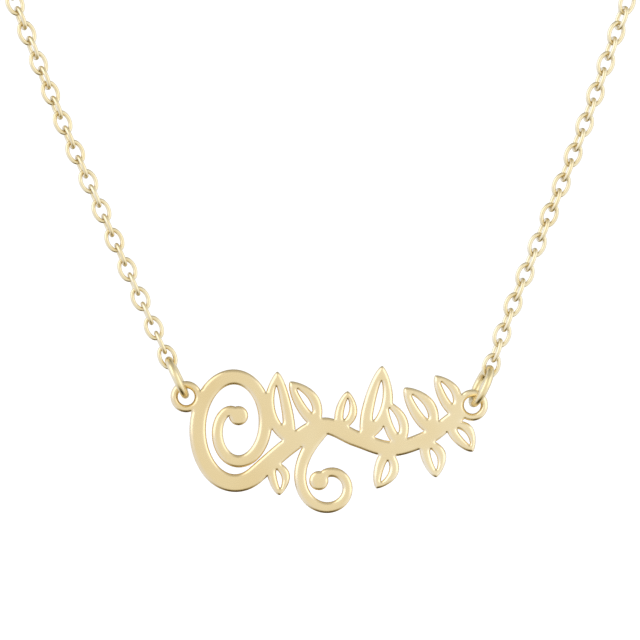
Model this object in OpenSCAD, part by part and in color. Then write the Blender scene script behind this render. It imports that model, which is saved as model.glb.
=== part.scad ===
// Nameplate necklace: a pierced scroll plate on two jump rings, an oval cable chain and a clasp.
// Millimetres, X right, Y away from the viewer, Z up.
// The origin is the middle of the neck at the clasp's height.

/* [Plate] */
// Distance between the centres of the two tab holes
tab_span = 30.9; // [28:0.1:34]
// Height of the scroll work, from its lowest curl to its tallest leaf
plate_h = 16; // [15:0.5:18]
// Thickness of the plate
plate_t = 0.95; // [0.8:0.05:1.1]
// How far the plate's right end hangs lower than its left, in degrees
plate_tilt = 1.7; // [0:0.1:3]
// Outside diameter of the round tabs
tab_d = 3.4; // [3.2:0.1:3.8]
// Diameter of the hole in each tab
tab_hole_d = 1.8; // [1.7:0.05:2]
// Width of the stem where it is thickest
stem_w = 2; // [1.7:0.05:2.2]
// Width of the stem at the right tab
stem_end_w = 1.5; // [1.2:0.05:1.7]
// Width of a curl where it leaves the stem
curl_w = 1.5; // [1.2:0.05:1.65]
// Width of a curl at its inner end
tip_w = 1; // [0.8:0.05:1.15]
// Diameter of the round bud at the end of each curl
bud_d = 2.1; // [1.8:0.05:2.3]
// Width of the widest leaf
leaf_w = 3.2; // [2.8:0.1:3.4]
// Width of the slit pierced in each leaf
slit_w = 0.65; // [0.5:0.05:0.8]

/* [Jump rings] */
// Outside diameter of a jump ring
ring_d = 5; // [4.8:0.1:5.6]
// Wire diameter of a jump ring
ring_wire_d = 0.85; // [0.7:0.05:0.9]
// How far the rings lean outwards, in degrees
ring_lean = 25.5; // [20:0.5:28]
// How far the left ring is turned about its own upright, in degrees
ring_turn_left = -1; // [-12:0.5:4]
// How far the right ring is turned about its own upright, in degrees
ring_turn_right = 10.5; // [4:0.5:18]
// Gap between a jump ring's wire and the rim of its tab
rim_gap = 0.26; // [0.24:0.01:0.36]
// Play between the left jump ring and the end of the link on it
ring_play_left = 0.14; // [0.12:0.01:0.3]
// Play between the right jump ring and the end of the link on it
ring_play_right = 0.14; // [0.12:0.01:0.3]

/* [Chain] */
// Outside length of a link
link_l = 2.8; // [2.78:0.01:3]
// Outside width of a link
link_w = 2.06; // [2.04:0.02:2.2]
// Wire diameter of a link
link_wire_d = 0.46; // [0.44:0.01:0.48]
// Gap between two wires where one hangs on the other
link_gap = 0.12; // [0.12:0.01:0.15]

/* [Clasp] */
// Outside diameter of the clasp's ring
clasp_d = 6; // [5.5:0.1:7]
// Wire diameter of the clasp's ring
clasp_wire_d = 1.1; // [0.9:0.1:1.3]
// Outside diameter of the two eyelets on the clasp
eyelet_d = 2.6; // [2.5:0.1:3]
// Wire diameter of the eyelets
eyelet_wire_d = 0.6; // [0.5:0.05:0.65]

/* [How it hangs] */
// Height of the clasp above the tab holes
drop = 100; // [94:1:106]
// Distance from the middle of the neck forward to the plate
front_y = 48; // [45:1:51]
// Distance from the middle of the neck back to the clasp
nape_y = 49; // [46:1:52]
// How far the plate hangs to the right of the middle
plate_x = 1; // [-2:0.5:2]

/* [Hidden] */
GOLD = "#dcc68e";
LEFT = -1;
RIGHT = 1;
// Points of the chain from its jump ring to the clasp, left half and right half, X outwards
ROUTES = [
  [[16.5, -48, -95], [19.5, -48, -88.5], [23.5, -48, -79.5], [27.9, -48, -69.5], [32.9, -48, -57],
   [39.4, -46.5, -41], [46.3, -39, -26], [52.5, -24, -13.5], [55.2, -4, -6], [52.3, 17.8, -2],
   [40.6, 36.8, 0], [22, 47, 0], [5.2, 49, 0]],
  [[18.8, -48, -96], [21.1, -48, -89.5], [25.1, -48, -79.5], [28.8, -48, -70], [33.3, -48, -57],
   [39.3, -46.5, -41], [46.7, -39, -26], [53.2, -24, -13.5], [56.2, -4, -6], [53.2, 18, -2],
   [41, 37, 0], [22, 47, 0], [5.2, 49, 0]]
];
// How far the chain is turned about its own run: share of its length, left half, right half
TWISTS = [[0, 4, 15], [0.2, 24, 22], [0.5, 12, 12], [1, 0, 0]];

// Stem from the right tab to the scroll at the left, as shares of tab_span and plate_h
STEM = [[0.5, 0], [0.43, -0.1], [0.345, -0.23], [0.22, -0.31], [0.1, -0.25], [-0.02, -0.17],
  [-0.135, -0.31]];
// Middle and half sizes of the scroll, as shares of tab_span and plate_h
SCROLL_AT = [-0.325, -0.19];
SCROLL_R = [0.139, 0.385];
// Angle at which the scroll starts, how far it turns, how much it shrinks and how soon
SCROLL_FROM = -60;
SCROLL_TURN = -590;
SCROLL_SHRINK = 0.8;
SCROLL_EASE = 1.7;
// Leaves: place along the stem, angle off it, length in plate_h, width in leaf_w, bend in its own length
LEAVES = [
  [0.115, -98, 0.31, 0.8, -0.08],
  [0.25, -92, 0.37, 0.92, -0.07],
  [0.39, -83, 0.34, 0.85, -0.06],
  [0.54, -82, 0.525, 1, -0.06],
  [0.645, -76, 0.27, 0.75, -0.07],
  [0.735, -76, 0.36, 0.85, -0.07],
  [0.85, -116, 0.5, 0.95, 0.08],
  [0.17, 92, 0.26, 0.8, 0.1],
  [0.3, 84, 0.27, 0.85, 0.1],
  [0.44, 78, 0.28, 0.85, 0.1],
  [0.93, 62, 0.24, 0.75, 0.1]
];
// How blunt a leaf's ends are, where 1 is pointed, and how far its widest place lies past the middle
LEAF_END = 0.65;
LEAF_SHIFT = 0.9;
// Start and end of the slit along a leaf
SLIT = [0.3, 0.8];
// Curls: place along the stem, angle off it, length in plate_h, turn, how soon it tightens
CURLS = [[0.7, 54, 1.19, 378, 2]];
STEM_STEPS = 60;
SCROLL_STEPS = 80;
LEAF_STEPS = 24;
CURL_STEP = 7;
CAP_STEPS = 8;
ROUTE_STEPS = 12;
// Share of a curve over which its direction is taken
NEARBY = 0.001;
ROUND = 48;

plate_at = [plate_x, -front_y, -drop];
ring_r = (ring_d - ring_wire_d) / 2;
clasp_r = (clasp_d - clasp_wire_d) / 2;
eyelet_r = (eyelet_d - eyelet_wire_d) / 2;
// An eyelet's wire crosses the ring's wire halfway from its middle to its outside
eyelet_x = clasp_r + clasp_wire_d / 4 + eyelet_r;

// Half length and half width of a link along the middle of its wire
link_a = (link_l - link_wire_d) / 2;
link_b = (link_w - link_wire_d) / 2;
pitch = link_l - 2 * link_wire_d - link_gap;
// Half length of a link's straight sides
side_a = link_a - link_b;

function dir(a) = [cos(a), sin(a)];
function on_plate(p) = [p[0] * tab_span, p[1] * plate_h];

// Smooth curve through four points, between the second and the third
function between(a, b, c, d, f) =
  (2 * b + (c - a) * f + (2 * a - 5 * b + 4 * c - d) * f * f + (3 * b - a - 3 * c + d) * f * f * f) / 2;
// Smooth curve through the points p, where f runs from 0 to 1
function through(p, f) = let (n = len(p) - 1, t = f * n, i = min(floor(t), n - 1))
  between(i > 0 ? p[i - 1] : 2 * p[0] - p[1], p[i], p[i + 1],
    i < n - 1 ? p[i + 2] : 2 * p[n] - p[n - 1], t - i);
function heading(p, f) = let (d = through(p, f + NEARBY) - through(p, f - NEARBY)) atan2(d[1], d[0]);

function scroll(f) = let (a = SCROLL_FROM + SCROLL_TURN * f, r = 1 - SCROLL_SHRINK * pow(f, SCROLL_EASE))
  on_plate([SCROLL_AT[0] + SCROLL_R[0] * r * cos(a), SCROLL_AT[1] + SCROLL_R[1] * r * sin(a)]);
stem = concat([for (p = STEM) on_plate(p)], [scroll(0)]);

// Points of a curl that leaves base at an angle and turns ever more tightly
function curl(base, angle, length, turn, ease) = let (n = ceil(abs(turn) / CURL_STEP))
  [for (i = 0, p = base; i <= n;
    p = p + dir(angle + turn * pow((i + 0.5) / n, ease)) * length / n, i = i + 1) p];

// Flat band along the points, from width w0 to width w1, with round ends
module band(pts, w0, w1) {
  n = len(pts) - 1;
  function along(i) = let (d = pts[min(i + 1, n)] - pts[max(i - 1, 0)]) d / norm(d);
  function across(i) = [-along(i)[1], along(i)[0]];
  function half(i) = (w0 + (w1 - w0) * i / n) / 2;
  function cap(i, k) = let (a = 180 * k / CAP_STEPS) (across(i) * cos(a) + along(i) * sin(a)) * half(i);
  polygon(concat(
    [for (i = [0 : n]) pts[i] + across(i) * half(i)],
    [for (k = [1 : CAP_STEPS - 1]) pts[n] + cap(n, k)],
    [for (i = [n : -1 : 0]) pts[i] - across(i) * half(i)],
    [for (k = [1 : CAP_STEPS - 1]) pts[0] - cap(0, k)]));
}

// Curved leaf with a rounded tip, or the part of its length between from and to
module leaf(base, angle, length, width, bend, from = 0, to = 1) {
  function swell(f) = pow(sin(180 * pow(f, LEAF_SHIFT)), LEAF_END);
  function edge(f, side) = let (t = from + (to - from) * f)
    base + dir(angle) * length * t
      + dir(angle + 90) * (bend * length * sin(180 * t) + side * width / 2 * swell(f));
  // Places along the leaf, closest together at its two ends
  function place(i) = (1 - cos(180 * i / LEAF_STEPS)) / 2;
  polygon(concat(
    [for (i = [0 : LEAF_STEPS]) edge(place(i), 1)],
    [for (i = [LEAF_STEPS - 1 : -1 : 1]) edge(place(i), -1)]));
}

// Flat piece of thickness t, half on each side of the plate's middle
module slab(t) {
  translate([0, 0, -t / 2]) linear_extrude(t) children();
}

module bud(at) {
  slab(plate_t) translate(at) circle(d = bud_d, $fn = ROUND);
}

module stem_and_scroll() {
  inner = [for (i = [0 : SCROLL_STEPS]) scroll(i / SCROLL_STEPS)];
  slab(plate_t) band([for (i = [0 : STEM_STEPS]) through(stem, i / STEM_STEPS)], stem_end_w, stem_w);
  slab(plate_t) band(inner, stem_w, tip_w);
  bud(inner[SCROLL_STEPS]);
}

module curls() {
  for (row = CURLS) {
    pts = curl(through(stem, row[0]), heading(stem, row[0]) + row[1], row[2] * plate_h, row[3], row[4]);
    slab(plate_t) band(pts, curl_w, tip_w);
    bud(pts[len(pts) - 1]);
  }
}

// All the leaves, or with from and to the part of their length between those shares
module leaves(t, width, from = 0, to = 1) {
  for (row = LEAVES) slab(t)
    leaf(through(stem, row[0]), heading(stem, row[0]) + row[1], row[2] * plate_h, row[3] * width,
      row[4], from, to);
}

module tabs(t, d) {
  for (s = [LEFT, RIGHT]) slab(t) translate([s * tab_span / 2, 0]) circle(d = d, $fn = ROUND);
}

module nameplate() {
  color(GOLD) translate(plate_at) rotate([90, plate_tilt, 0]) difference() {
    union() {
      stem_and_scroll();
      curls();
      leaves(plate_t, leaf_w);
      tabs(plate_t, tab_d);
    }
    leaves(2 * plate_t, slit_w, SLIT[0], SLIT[1]);
    tabs(2 * plate_t, tab_hole_d);
  }
}

// Middle of a tab hole, the direction in which its ring leans, and places along that direction
function hole(s) = plate_at + s * tab_span / 2 * [cos(plate_tilt), 0, -sin(plate_tilt)];
function up(s) = [s * sin(ring_lean), 0, cos(ring_lean)];
function ring_at(s) = hole(s) + up(s) * (tab_hole_d / 2 - rim_gap - ring_wire_d / 2 + ring_r);
function first_link(s) = let (play = s == LEFT ? ring_play_left : ring_play_right)
  ring_at(s) + up(s) * (ring_r + link_a - (ring_wire_d + link_wire_d) / 2 - play);
function last_link(s) =
  [s * (eyelet_x + eyelet_r + link_a - (eyelet_wire_d + link_wire_d) / 2 - link_gap), nape_y, 0];

module wire_ring(r, wire_d) {
  rotate_extrude($fn = ROUND) translate([r, 0]) circle(d = wire_d, $fn = ROUND);
}

module jump_ring(s, turn) {
  color(GOLD) translate(ring_at(s)) rotate([0, s * ring_lean, 0]) rotate([0, 90, turn])
    wire_ring(ring_r, ring_wire_d);
}

module jump_ring_left() {
  jump_ring(LEFT, ring_turn_left);
}

module jump_ring_right() {
  jump_ring(RIGHT, ring_turn_right);
}

module clasp() {
  color(GOLD) translate([0, nape_y, 0]) rotate([90, 0, 0]) {
    wire_ring(clasp_r, clasp_wire_d);
    for (s = [LEFT, RIGHT]) translate([s * eyelet_x, 0, 0]) wire_ring(eyelet_r, eyelet_wire_d);
  }
}

module chain_link() {
  for (turn = [0, 180]) rotate([0, 0, turn]) {
    translate([side_a, 0, 0]) rotate([0, 0, -90]) rotate_extrude(angle = 180, $fn = ROUND)
      translate([link_b, 0]) circle(d = link_wire_d, $fn = ROUND);
    translate([-side_a, link_b, 0]) rotate([0, 90, 0])
      cylinder(h = 2 * side_a, d = link_wire_d, $fn = ROUND);
  }
}

// The chain's points on one side, drawn to where its first and last links hang
function route(s) = let (
    p = [for (q = ROUTES[(s + 1) / 2]) [s * q[0], q[1], q[2]]], n = len(p) - 1,
    start = first_link(s) - p[0], end = last_link(s) - p[n])
  [for (i = [0 : n]) p[i] + start * (1 - i / n) + end * i / n];

// Links along one side, an even number, alternately flat and on edge
module chain(s) {
  ways = route(s);
  n = (len(ways) - 1) * ROUTE_STEPS;
  pts = [for (i = [0 : n]) through(ways, i / n)];
  lengths = [for (i = 0, l = 0; i <= n;
    l = l + (i < n ? norm(pts[i + 1] - pts[i]) : 0), i = i + 1) l];
  tables = [for (k = [0 : 2]) [for (i = [0 : n]) [lengths[i], pts[i][k]]]];
  function spot(l) = [for (table = tables) lookup(l, table)];
  twist = [for (row = TWISTS) [row[0] * lengths[n], row[(s + 3) / 2]]];
  links = 2 * ceil((lengths[n] / pitch + 1) / 2);
  step = lengths[n] / (links - 1);
  color(GOLD) for (i = [0 : links - 1]) {
    d = spot((i + 0.5) * step) - spot((i - 0.5) * step);
    translate(spot(i * step))
      rotate([90 * ((i + 1) % 2) + lookup(i * step, twist), -asin(d[2] / norm(d)), atan2(d[1], d[0])])
        chain_link();
  }
}

module chain_left() {
  chain(LEFT);
}

module chain_right() {
  chain(RIGHT);
}

nameplate();
jump_ring_left();
jump_ring_right();
chain_left();
chain_right();
clasp();
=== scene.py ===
import math

import bpy
import numpy as np
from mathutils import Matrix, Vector
from mathutils.geometry import delaunay_2d_cdt


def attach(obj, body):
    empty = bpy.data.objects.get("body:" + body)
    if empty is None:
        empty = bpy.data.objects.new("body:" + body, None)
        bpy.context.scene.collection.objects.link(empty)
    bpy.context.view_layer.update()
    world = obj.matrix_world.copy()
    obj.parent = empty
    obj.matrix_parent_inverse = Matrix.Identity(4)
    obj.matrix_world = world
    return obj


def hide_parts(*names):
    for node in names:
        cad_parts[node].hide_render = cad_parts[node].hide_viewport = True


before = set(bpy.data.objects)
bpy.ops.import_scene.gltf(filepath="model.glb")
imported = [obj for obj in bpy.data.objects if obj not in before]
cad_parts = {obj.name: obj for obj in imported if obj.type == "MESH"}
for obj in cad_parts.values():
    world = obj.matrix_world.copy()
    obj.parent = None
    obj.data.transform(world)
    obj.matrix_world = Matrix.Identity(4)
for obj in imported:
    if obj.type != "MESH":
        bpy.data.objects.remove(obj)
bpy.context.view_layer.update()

MM = 0.001
# Vertices of a solid are the same where they round to the same of these steps a millimetre
WELD_STEPS = 2e4
# Within this, a face lies in the plate's front, and two points of its outline are one
NEAR = 1e-3
# Keeps a step of no length from being divided by, and what the triangulation merges within
TINY, MERGE = 1e-9, 1e-6
# The triangulation keeps only what lies within its outline
ONLY_INSIDE = 1

# A link's round ends as a share of its half width, and its points along an end, a side and round the wire
LINK_END = 0.83
LINK_END_POINTS, LINK_SIDE_POINTS, LINK_ROUND = 10, 8, 14
# A jump ring's points along it and round its wire
RING_POINTS, RING_ROUND = 128, 28

# The plate's rounded rim: its width, its depth, and where it gets its rows of points
RIM, RIM_DEPTH = 0.6, 0.38
RIM_ROWS = (15, 25, 35, 45, 55, 66, 78, 90)
ROW_CLEAR = 0.97
# How much the plate's face is raised in the middle, and how far from the edge that is reached
CROWN, CROWN_REACH = 0.02, 0.45
# Spacing of the points along the plate's edge and on its face, and how far those keep from the rim
EDGE_SPACING = 0.12
FACE_SPACING = (0.3, 0.26)
FACE_CLEAR = 0.1
# The plate's edge bends smoothly but for turns sharper than this
CORNER = math.radians(26)
# Points handled at a time
BATCH = 2000


# ---- reading the frame ----

def node_mesh(name):
    """Vertices in millimetres, welded by place, and the triangles of a CAD node."""
    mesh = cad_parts[name].data
    mesh.calc_loop_triangles()
    co = np.empty(len(mesh.vertices) * 3, np.float32)
    mesh.vertices.foreach_get("co", co)
    tri = np.empty(len(mesh.loop_triangles) * 3, np.int32)
    mesh.loop_triangles.foreach_get("vertices", tri)
    co = co.reshape(-1, 3).astype(float) / MM
    key = np.round(co * WELD_STEPS).astype(np.int64)
    _, first, back = np.unique(key, axis=0, return_index=True, return_inverse=True)
    tri = back.reshape(-1)[tri].reshape(-1, 3)
    keep = (tri[:, 0] != tri[:, 1]) & (tri[:, 1] != tri[:, 2]) & (tri[:, 0] != tri[:, 2])
    return co[first], tri[keep]


def loose_parts(count, tri):
    """A label for each vertex, the same within a solid."""
    label = np.arange(count)
    a, b = np.concatenate([tri[:, :2], tri[:, 1:]]).T
    while True:
        low = np.minimum(label[a], label[b])
        new = label.copy()
        np.minimum.at(new, a, low)
        np.minimum.at(new, b, low)
        new = new[new]
        if (new == label).all():
            return np.unique(label, return_inverse=True)[1].reshape(-1)
        label = new


def wire_solids(name):
    """Centre, long, cross and thin axes, and half sizes along them, of each loose solid of a node."""
    co, tri = node_mesh(name)
    label = loose_parts(len(co), tri)
    corners = co[tri]
    area = np.linalg.norm(np.cross(corners[:, 1] - corners[:, 0], corners[:, 2] - corners[:, 0]), axis=1)
    middle = corners.mean(1)
    owner = label[tri[:, 0]]
    found = []
    for k in range(label.max() + 1):
        mine = owner == k
        w, m = area[mine], middle[mine]
        centre = (m * w[:, None]).sum(0) / w.sum()
        _, axes = np.linalg.eigh(((m - centre) * w[:, None]).T @ (m - centre))
        axes = axes[:, ::-1].T
        if np.linalg.det(axes) < 0:
            axes[2] = -axes[2]
        reach = (co[label == k] - centre) @ axes.T
        centre = centre + ((reach.max(0) + reach.min(0)) / 2) @ axes
        found.append((centre, axes, (reach.max(0) - reach.min(0)) / 2))
    return found


# ---- meshes ----

def make(name, verts, faces, body, material, stands_for):
    """A smooth mesh piece from points in millimetres, on a body, in place of a CAD node."""
    mesh = bpy.data.meshes.new(name)
    faces = np.asarray(faces, np.int32)
    size = faces.shape[1]
    mesh.vertices.add(len(verts))
    mesh.vertices.foreach_set("co", (np.asarray(verts) * MM).astype(np.float32).ravel())
    mesh.loops.add(faces.size)
    mesh.loops.foreach_set("vertex_index", faces.ravel())
    mesh.polygons.add(len(faces))
    mesh.polygons.foreach_set("loop_start", np.arange(0, faces.size, size, dtype=np.int32))
    mesh.polygons.foreach_set("use_smooth", np.ones(len(faces), bool))
    mesh.update(calc_edges=True)
    mesh.validate()
    piece = bpy.data.objects.new(name, mesh)
    bpy.context.scene.collection.objects.link(piece)
    mesh.materials.append(material)
    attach(piece, body)
    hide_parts(stands_for)


def swept_loop(points, outward, up, radius, around):
    """Closed tube of round wire along a flat loop: its vertices and quads."""
    n = len(points)
    a = np.arange(around) * 2 * np.pi / around
    ring = outward[:, None] * np.cos(a)[None, :, None] + up[None, None] * np.sin(a)[None, :, None]
    verts = (points[:, None] + ring * radius).reshape(-1, 3)
    i, j = np.meshgrid(np.arange(n), np.arange(around), indexing="ij")
    i2, j2 = (i + 1) % n, (j + 1) % around
    quads = np.stack([i * around + j, i2 * around + j, i2 * around + j2, i * around + j2], -1)
    return verts, quads.reshape(-1, 4)


def oval(half_l, half_w, wire):
    """One link in its own frame, an oval of four arcs: long axis X, cross axis Y, wire radius wire."""
    a, b = half_l - wire, half_w - wire
    end_r = LINK_END * b
    side_r = (b ** 2 + (a - end_r) ** 2 - end_r ** 2) / (2 * (b - end_r))
    lean = math.asin((a - end_r) / (side_r - end_r))
    pts, out = [], []
    for sign in (1, -1):
        spin = np.array([sign, sign, 1])
        for x, y, r, mid, half, n in ((a - end_r, 0, end_r, 0, math.pi / 2 - lean, LINK_END_POINTS),
                                      (0, b - side_r, side_r, math.pi / 2, lean, LINK_SIDE_POINTS)):
            for angle in mid - half + 2 * half * np.arange(n) / n:
                d = np.array([math.cos(angle), math.sin(angle), 0])
                pts.append((np.array([x, y, 0]) + r * d) * spin)
                out.append(d * spin)
    return swept_loop(np.array(pts), np.array(out), np.array([0, 0, 1.0]), wire, LINK_ROUND)


def chain_piece(name, node, body, material):
    """A node's links as ovals, each in its solid's place and of its length, width and wire."""
    verts, quads, count = [], [], 0
    for centre, axes, half in wire_solids(node):
        v, q = oval(*half)
        verts.append(centre + v @ axes)
        quads.append(q + count)
        count += len(v)
    make(name, np.concatenate(verts), np.concatenate(quads), body, material, node)


def ring_piece(name, node, body, material):
    """A jump ring of round wire in its solid's place."""
    centre, axes, half = wire_solids(node)[0]
    a = np.arange(RING_POINTS) * 2 * np.pi / RING_POINTS
    out = np.stack([np.cos(a), np.sin(a), 0 * a], 1)
    v, q = swept_loop(out * (half[0] - half[2]), out, np.array([0, 0, 1.0]), half[2], RING_ROUND)
    make(name, centre + v @ axes, q, body, material, node)


def outline_loops(co, tri, y):
    """Closed outlines of the flat face at height y, as loops of X, Z points with the metal on their left."""
    flat = tri[(np.abs(co[tri][:, :, 1] - y) < NEAR).all(1)]
    p = co[flat][:, :, [0, 2]]
    turn = np.cross(p[:, 1] - p[:, 0], p[:, 2] - p[:, 0])
    flat[turn < 0] = flat[turn < 0][:, ::-1]
    edges = {(a, b) for t in flat for a, b in ((t[0], t[1]), (t[1], t[2]), (t[2], t[0]))}
    after = {a: b for a, b in edges if (b, a) not in edges}
    loops = []
    while after:
        a = next(iter(after))
        loop = [a]
        while after.get(loop[-1]) is not None:
            b = after.pop(loop[-1])
            if b == a:
                break
            loop.append(b)
        loops.append(co[loop][:, [0, 2]])
    return loops


def smooth_loop(p):
    """The loop with smooth curves between its corners, resampled, and its inward normals."""
    gap = np.linalg.norm(np.roll(p, -1, 0) - p, axis=1)
    p = p[gap > NEAR]
    step = np.roll(p, -1, 0) - p
    way = np.arctan2(step[:, 1], step[:, 0])
    turn = np.abs((way - np.roll(way, 1) + np.pi) % (2 * np.pi) - np.pi)
    n = len(p)
    sharp = turn > CORNER
    out = []
    for i in range(n):
        a, b, c, d = p[i - 1], p[i], p[(i + 1) % n], p[(i + 2) % n]
        if sharp[i]:
            a = 2 * b - c
        if sharp[(i + 1) % n]:
            d = 2 * c - b
        t1, t2, t3 = (np.linalg.norm(side) ** 0.5 + TINY for side in (b - a, c - b, d - c))
        m1 = (c - b) + t2 * ((b - a) / t1 - (c - a) / (t1 + t2))
        m2 = (c - b) + t2 * ((d - c) / t3 - (d - b) / (t2 + t3))
        parts = max(1, round(np.linalg.norm(c - b) / EDGE_SPACING))
        for f in np.arange(parts) / parts:
            out.append((2 * f ** 3 - 3 * f ** 2 + 1) * b + (f ** 3 - 2 * f ** 2 + f) * m1
                       + (3 * f ** 2 - 2 * f ** 3) * c + (f ** 3 - f ** 2) * m2)
    out = np.array(out)
    step = np.roll(out, -1, 0) - np.roll(out, 1, 0)
    step /= np.linalg.norm(step, axis=1)[:, None]
    return out, np.stack([-step[:, 1], step[:, 0]], 1)


def nearest(p, a, b):
    """Distance from each point to the segments a-b."""
    best = np.empty(len(p))
    d = b - a
    dd = (d ** 2).sum(1)
    for start in range(0, len(p), BATCH):
        q = p[start:start + BATCH, None]
        t = np.clip(((q - a) * d).sum(2) / dd, 0, 1)
        foot = a + t[:, :, None] * d
        best[start:start + BATCH] = np.sqrt(((q - foot) ** 2).sum(2).min(1))
    return best


def inside(p, a, b):
    """Whether each point lies within the loops, by counting crossings."""
    hit = np.zeros(len(p), bool)
    for start in range(0, len(p), BATCH):
        q = p[start:start + BATCH, None]
        above = (a[:, 1] > q[:, :, 1]) != (b[:, 1] > q[:, :, 1])
        with np.errstate(divide="ignore", invalid="ignore"):
            x = a[:, 0] + (q[:, :, 1] - a[:, 1]) / (b[:, 1] - a[:, 1]) * (b[:, 0] - a[:, 0])
        hit[start:start + BATCH] = (above & (q[:, :, 0] < x)).sum(1) % 2 == 1
    return hit


def plate_piece(name, node, body, material):
    """The plate from the outline of its solid's front, with rounded rims and slightly raised faces."""
    co, tri = node_mesh(node)
    front, back = co[:, 1].min(), co[:, 1].max()
    half = (back - front) / 2
    mid = (back + front) / 2
    loops = [smooth_loop(p) for p in outline_loops(co, tri, front)]
    edge = np.concatenate([p for p, _ in loops])
    inward = np.concatenate([n for _, n in loops])
    follows, start = [], 0
    for p, _ in loops:
        follows.append((np.arange(len(p)) + 1) % len(p) + start)
        start += len(p)
    follows = np.concatenate(follows)
    a, b = edge, edge[follows]

    points = [edge]
    for angle in RIM_ROWS:
        d = RIM * (1 - math.cos(math.radians(angle)))
        q = edge + inward * d
        points.append(q[nearest(q, a, b) > ROW_CLEAR * d])
    low, high = edge.min(0), edge.max(0)
    gx, gy = np.meshgrid(*(np.arange(low[k], high[k], FACE_SPACING[k]) for k in (0, 1)))
    gx[::2] += FACE_SPACING[0] / 2
    grid = np.stack([gx.ravel(), gy.ravel()], 1)
    points.append(grid[inside(grid, a, b) & (nearest(grid, a, b) > RIM + FACE_CLEAR)])
    points = np.concatenate(points)
    made = delaunay_2d_cdt([Vector(p) for p in points], [(i, int(follows[i])) for i in range(len(edge))],
                           [], ONLY_INSIDE, MERGE)
    flat = np.array([v[:] for v in made[0]])
    tris = np.array([f[:] for f in made[2] if len(f) == 3])
    tris = tris[inside(flat[tris].mean(1), a, b)]
    dist = nearest(flat, a, b)
    rim = np.array([len(o) > 0 and min(o) < len(edge) for o in made[3]])
    dist[rim] = 0
    u = np.clip(1 - dist / RIM, 0, 1)
    rise = half - CROWN - RIM_DEPTH + RIM_DEPTH * np.sqrt(1 - u ** 2)
    rise += CROWN * (1 - np.exp(-dist / CROWN_REACH))

    count = len(flat)
    front_v = np.stack([flat[:, 0], mid - rise, flat[:, 1]], 1)
    back_v = np.stack([flat[:, 0], mid + rise, flat[:, 1]], 1)
    p = flat[tris]
    turn = np.cross(p[:, 1] - p[:, 0], p[:, 2] - p[:, 0])
    tris[turn < 0] = tris[turn < 0][:, ::-1]
    owner = {}
    for i, o in enumerate(made[3]):
        for k in o:
            owner.setdefault(k, i)
    first = np.array([owner[i] for i in range(len(edge))])
    second = first[follows]
    wall = np.concatenate([np.stack([first, first + count, second], 1),
                           np.stack([second, first + count, second + count], 1)])
    faces = np.concatenate([tris, tris[:, ::-1] + count, wall])
    used = np.unique(faces)
    renumber = np.zeros(2 * count, int)
    renumber[used] = np.arange(len(used))
    make(name, np.concatenate([front_v, back_v])[used], renumber[faces], body, material, node)


# ---- materials ----

# Share of a noise's range that is spread over the whole of what it drives
NOISE_RANGE = (0.3, 0.7)
# Scale and detail of the drift of tint and of the unevenness
DRIFT, WAVE = (140, 2), (450, 1)
# Detail of the polishing marks, and how they are drawn out and turned
MARK_DETAIL, MARK_STRETCH, MARK_TURN = 3, (1, 1, 12), (0, 0.6, 0)
# Heights of the unevenness and of the marks
WAVE_HEIGHT, MARK_HEIGHT = 0.02 * MM, 0.001 * MM
# Half the width over which the plate's colour is painted paler towards +X, a painted reflection
PAINTED_SHEEN_REACH = 15 * MM


def mix_color(tree, factor, a, b, blend="MIX"):
    """A mix of two colours, each a tuple or an output, by a factor."""
    mix = tree.nodes.new("ShaderNodeMix")
    mix.data_type = "RGBA"
    mix.blend_type = blend
    tree.links.new(factor, mix.inputs[0])
    for slot, color in ((6, a), (7, b)):
        if isinstance(color, tuple):
            mix.inputs[slot].default_value = (*color, 1)
        else:
            tree.links.new(color, mix.inputs[slot])
    return mix.outputs[2]


def map_range(tree, source, low, high, at_low, at_high):
    """A value that goes from at_low to at_high as the source goes from low to high."""
    n = tree.nodes.new("ShaderNodeMapRange")
    for name, value in zip(("From Min", "From Max", "To Min", "To Max"), (low, high, at_low, at_high)):
        n.inputs[name].default_value = value
    tree.links.new(source, n.inputs["Value"])
    return n.outputs["Result"]


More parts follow.
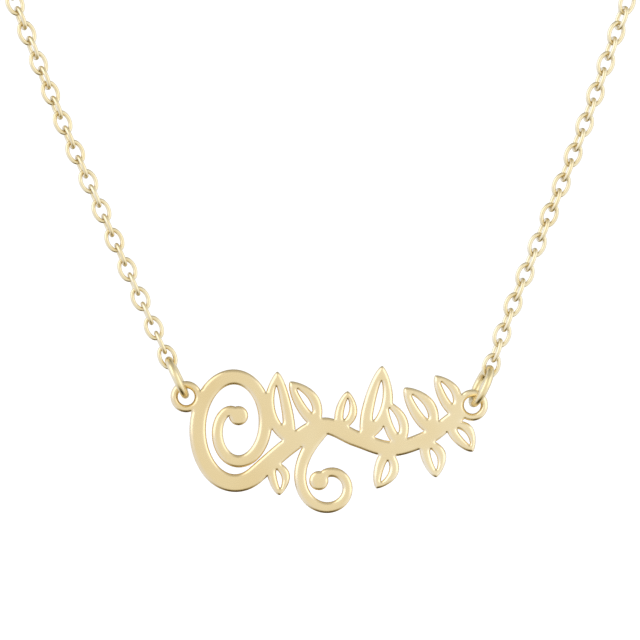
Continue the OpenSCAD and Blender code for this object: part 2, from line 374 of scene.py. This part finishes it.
def gold(name, base, deep, rough, grain, wave, painted_sheen=None):
    """Polished pale gold: a soft drift of tint, fine polishing marks and a slight unevenness.

    The colour can be painted paler and cooler towards +X, a painted reflection: the last argument multiplies
    its colour there.
    """
    m = bpy.data.materials.new(name)
    m.use_nodes = True
    t = m.node_tree
    bsdf = t.nodes["Principled BSDF"]
    bsdf.inputs["Metallic"].default_value = 1
    place = t.nodes.new("ShaderNodeTexCoord").outputs["Object"]

    def noise(scale, detail, source):
        n = t.nodes.new("ShaderNodeTexNoise")
        n.inputs["Scale"].default_value = scale
        n.inputs["Detail"].default_value = detail
        t.links.new(source, n.inputs["Vector"])
        return n.outputs["Fac"]

    def bump(height, source, under=None):
        n = t.nodes.new("ShaderNodeBump")
        n.inputs["Distance"].default_value = height
        n.inputs["Strength"].default_value = wave
        t.links.new(source, n.inputs["Height"])
        if under:
            t.links.new(under, n.inputs["Normal"])
        return n.outputs["Normal"]

    tint = mix_color(t, map_range(t, noise(*DRIFT, place), *NOISE_RANGE, 0, 1), base, deep)
    # Painted reflection: the colour is made paler and cooler towards +X
    if painted_sheen:
        split = t.nodes.new("ShaderNodeSeparateXYZ")
        t.links.new(place, split.inputs["Vector"])
        sheen_fade = map_range(t, split.outputs["X"], -PAINTED_SHEEN_REACH, PAINTED_SHEEN_REACH, 0, 1)
        tint = mix_color(t, sheen_fade, tint, painted_sheen, "MULTIPLY")
    t.links.new(tint, bsdf.inputs["Base Color"])

    stretch = t.nodes.new("ShaderNodeMapping")
    stretch.inputs["Scale"].default_value = MARK_STRETCH
    stretch.inputs["Rotation"].default_value = MARK_TURN
    t.links.new(place, stretch.inputs["Vector"])
    marks = noise(grain, MARK_DETAIL, stretch.outputs["Vector"])
    t.links.new(map_range(t, marks, *NOISE_RANGE, *rough), bsdf.inputs["Roughness"])
    uneven = bump(WAVE_HEIGHT, noise(*WAVE, place))
    t.links.new(bump(MARK_HEIGHT, marks, uneven), bsdf.inputs["Normal"])
    return m


# Colour, deeper colour, span of roughness, scale of the marks, strength of the unevenness, painted paler end
# (a painted reflection)
plate_gold = gold("plate_gold_polished", (0.865, 0.71, 0.408), (0.825, 0.65, 0.342), (0.2, 0.27), 900, 0.4,
                  (1.07, 1.12, 1.25))
ring_gold = gold("ring_gold_wire", (0.88, 0.75, 0.44), (0.84, 0.69, 0.36), (0.26, 0.34), 400, 0.05)
# The chain's own gold colour, painted paler than the plate's as a painted highlight for the bright
# reflections on its wires
chain_gold_painted_sheen = gold("chain_gold_wire_painted_sheen", (0.91, 0.8, 0.52), (0.86, 0.72, 0.41), (0.28, 0.36), 400, 0.05)
clasp_gold = gold("clasp_gold_cast", (0.88, 0.75, 0.44), (0.84, 0.69, 0.36), (0.22, 0.3), 400, 0.08)

# ---- pieces ----

plate_piece("plate_polished", "nameplate", "plate", plate_gold)
ring_piece("ring_wire_left", "jump_ring_left", "chain", ring_gold)
ring_piece("ring_wire_right", "jump_ring_right", "chain", ring_gold)
chain_piece("links_left", "chain_left", "chain", chain_gold_painted_sheen)
chain_piece("links_right", "chain_right", "chain", chain_gold_painted_sheen)

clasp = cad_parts["clasp"]
clasp.data.materials.clear()
clasp.data.materials.append(clasp_gold)

# ---- floor ----

FLOOR_Z, FLOOR_R, FLOOR_SIDES = -0.145, 3, 96
PAPER = {"Base Color": (0.92, 0.92, 0.92, 1), "Roughness": 0.9, "Specular IOR Level": 0.1,
         "Emission Color": (1, 1, 1, 1), "Emission Strength": 0.5}

floor_mesh = bpy.data.meshes.new("floor")
angles = np.linspace(0, 2 * math.pi, FLOOR_SIDES, endpoint=False)
floor_mesh.from_pydata([(FLOOR_R * math.cos(a), FLOOR_R * math.sin(a), FLOOR_Z) for a in angles], [],
                       [list(range(FLOOR_SIDES))])
floor = bpy.data.objects.new("floor", floor_mesh)
bpy.context.scene.collection.objects.link(floor)
paper = bpy.data.materials.new("floor_paper")
paper.use_nodes = True
for socket, value in PAPER.items():
    paper.node_tree.nodes["Principled BSDF"].inputs[socket].default_value = value
floor_mesh.materials.append(paper)
floor.visible_glossy = False

# ---- background and tent ----

# Brightness of the white that the camera sees behind the part
WHITE = 1.1
# The tent that the metal reflects, by height from straight down at 0 to straight up at 1: place, colour
TENT = ((0.025, (0.05, 0.04, 0.02)), (0.068, (0.48, 0.4, 0.225)), (0.15, (1, 1, 1)), (0.82, (1, 1, 1)),
        (0.9, (0.44, 0.43, 0.4)), (0.98, (0.22, 0.21, 0.19)))
# Cooler ends at the left and the right, along X: from, to, share at each, tint
SIDE_TINTS = ((-0.8, -0.2, 1, 0, (0.925, 1, 1.35)), (0.2, 0.8, 0, 1, (0.96, 1, 1.15)))
# Strength of the tent along an axis: from, to, value at each
RIGHT_SIDE, LEFT_SIDE = ("X", 0.3, 0.8, 0.95, 1.1), ("X", -0.8, -0.3, 1.06, 1)
# It dims from the side to the back, but not at the left and not straight behind
TO_THE_BACK = ("Y", 0.3, 0.9, 1, 0.45)
BUT_LEFT, BUT_BEHIND = ("X", -0.6, -0.2, 1, 0), ("Y", 0.86, 0.94, 0, 0.95)

world = bpy.data.worlds.new("studio")
bpy.context.scene.world = world
world.use_nodes = True
w = world.node_tree
w.nodes.clear()

coords = w.nodes.new("ShaderNodeTexCoord")
split = w.nodes.new("ShaderNodeSeparateXYZ")
w.links.new(coords.outputs["Generated"], split.inputs["Vector"])


def along(axis, low, high, at_low, at_high):
    """A value that goes from at_low to at_high as the direction turns along an axis."""
    return map_range(w, split.outputs[axis], low, high, at_low, at_high)


def math_node(operation, a, b):
    """The result of an operation on two values."""
    n = w.nodes.new("ShaderNodeMath")
    n.operation = operation
    w.links.new(a, n.inputs[0])
    w.links.new(b, n.inputs[1])
    return n.outputs["Value"]


shade = w.nodes.new("ShaderNodeValToRGB")
w.links.new(along("Z", -1, 1, 0, 1), shade.inputs["Fac"])
stops = shade.color_ramp.elements
for stop, (place, tint) in zip(stops, (TENT[0], TENT[-1])):
    stop.position, stop.color = place, (*tint, 1)
for place, tint in TENT[1:-1]:
    stops.new(place).color = (*tint, 1)
color = shade.outputs["Color"]
for low, high, at_low, at_high, tint in SIDE_TINTS:
    color = mix_color(w, along("X", low, high, at_low, at_high), color, tint, "MULTIPLY")
dim = math_node("MAXIMUM", along(*TO_THE_BACK), along(*BUT_LEFT))
dim = math_node("MAXIMUM", dim, along(*BUT_BEHIND))
level = math_node("MULTIPLY", along(*RIGHT_SIDE), along(*LEFT_SIDE))

tent = w.nodes.new("ShaderNodeBackground")
w.links.new(color, tent.inputs["Color"])
w.links.new(math_node("MULTIPLY", level, dim), tent.inputs["Strength"])
sweep = w.nodes.new("ShaderNodeBackground")
sweep.inputs["Color"].default_value = (1, 1, 1, 1)
sweep.inputs["Strength"].default_value = WHITE
choose = w.nodes.new("ShaderNodeMixShader")
w.links.new(w.nodes.new("ShaderNodeLightPath").outputs["Is Camera Ray"], choose.inputs["Fac"])
w.links.new(tent.outputs["Background"], choose.inputs[1])
w.links.new(sweep.outputs["Background"], choose.inputs[2])
out = w.nodes.new("ShaderNodeOutputWorld")
w.links.new(choose.outputs["Shader"], out.inputs["Surface"])

# ---- lamps ----

# The middle of the plate, which the lamps face
TARGET = Vector((0, -0.048, -0.0912))


def softbox(name, place, size, power):
    """A rectangular lamp at a place from the target, turned to it."""
    light = bpy.data.lights.new(name, "AREA")
    light.shape = "RECTANGLE"
    light.size, light.size_y = size
    light.energy = power
    lamp = bpy.data.objects.new(name, light)
    bpy.context.scene.collection.objects.link(lamp)
    lamp.location = TARGET + Vector(place)
    lamp.rotation_mode = "QUATERNION"
    lamp.rotation_quaternion = Vector(place).to_track_quat("Z", "Y")
    lamp.visible_camera = False


softbox("key", (-0.8, -0.6, 0.5), (0.8, 1.2), 2.5)
softbox("fill", (0.9, -0.5, 0.2), (0.6, 1), 1)
softbox("top", (0, -0.2, 1), (1.4, 1), 1.5)

# ---- camera ----

# Distance from the plate, height, width of what it sees there, and its sensor in millimetres
DISTANCE, CAMERA_Z, SEEN, SENSOR = 0.6, -0.09126, 0.0691, 36

camera_data = bpy.data.cameras.new("camera")
camera_data.sensor_width = SENSOR
camera_data.lens = SENSOR * DISTANCE / SEEN
camera_data.clip_start, camera_data.clip_end = 0.01, 20
camera = bpy.data.objects.new("camera", camera_data)
bpy.context.scene.collection.objects.link(camera)
camera.location = (0, TARGET.y - DISTANCE, CAMERA_Z)
camera.rotation_euler = (math.pi / 2, 0, 0)
bpy.context.scene.camera = camera
bpy.context.scene.view_settings.view_transform = "Standard"
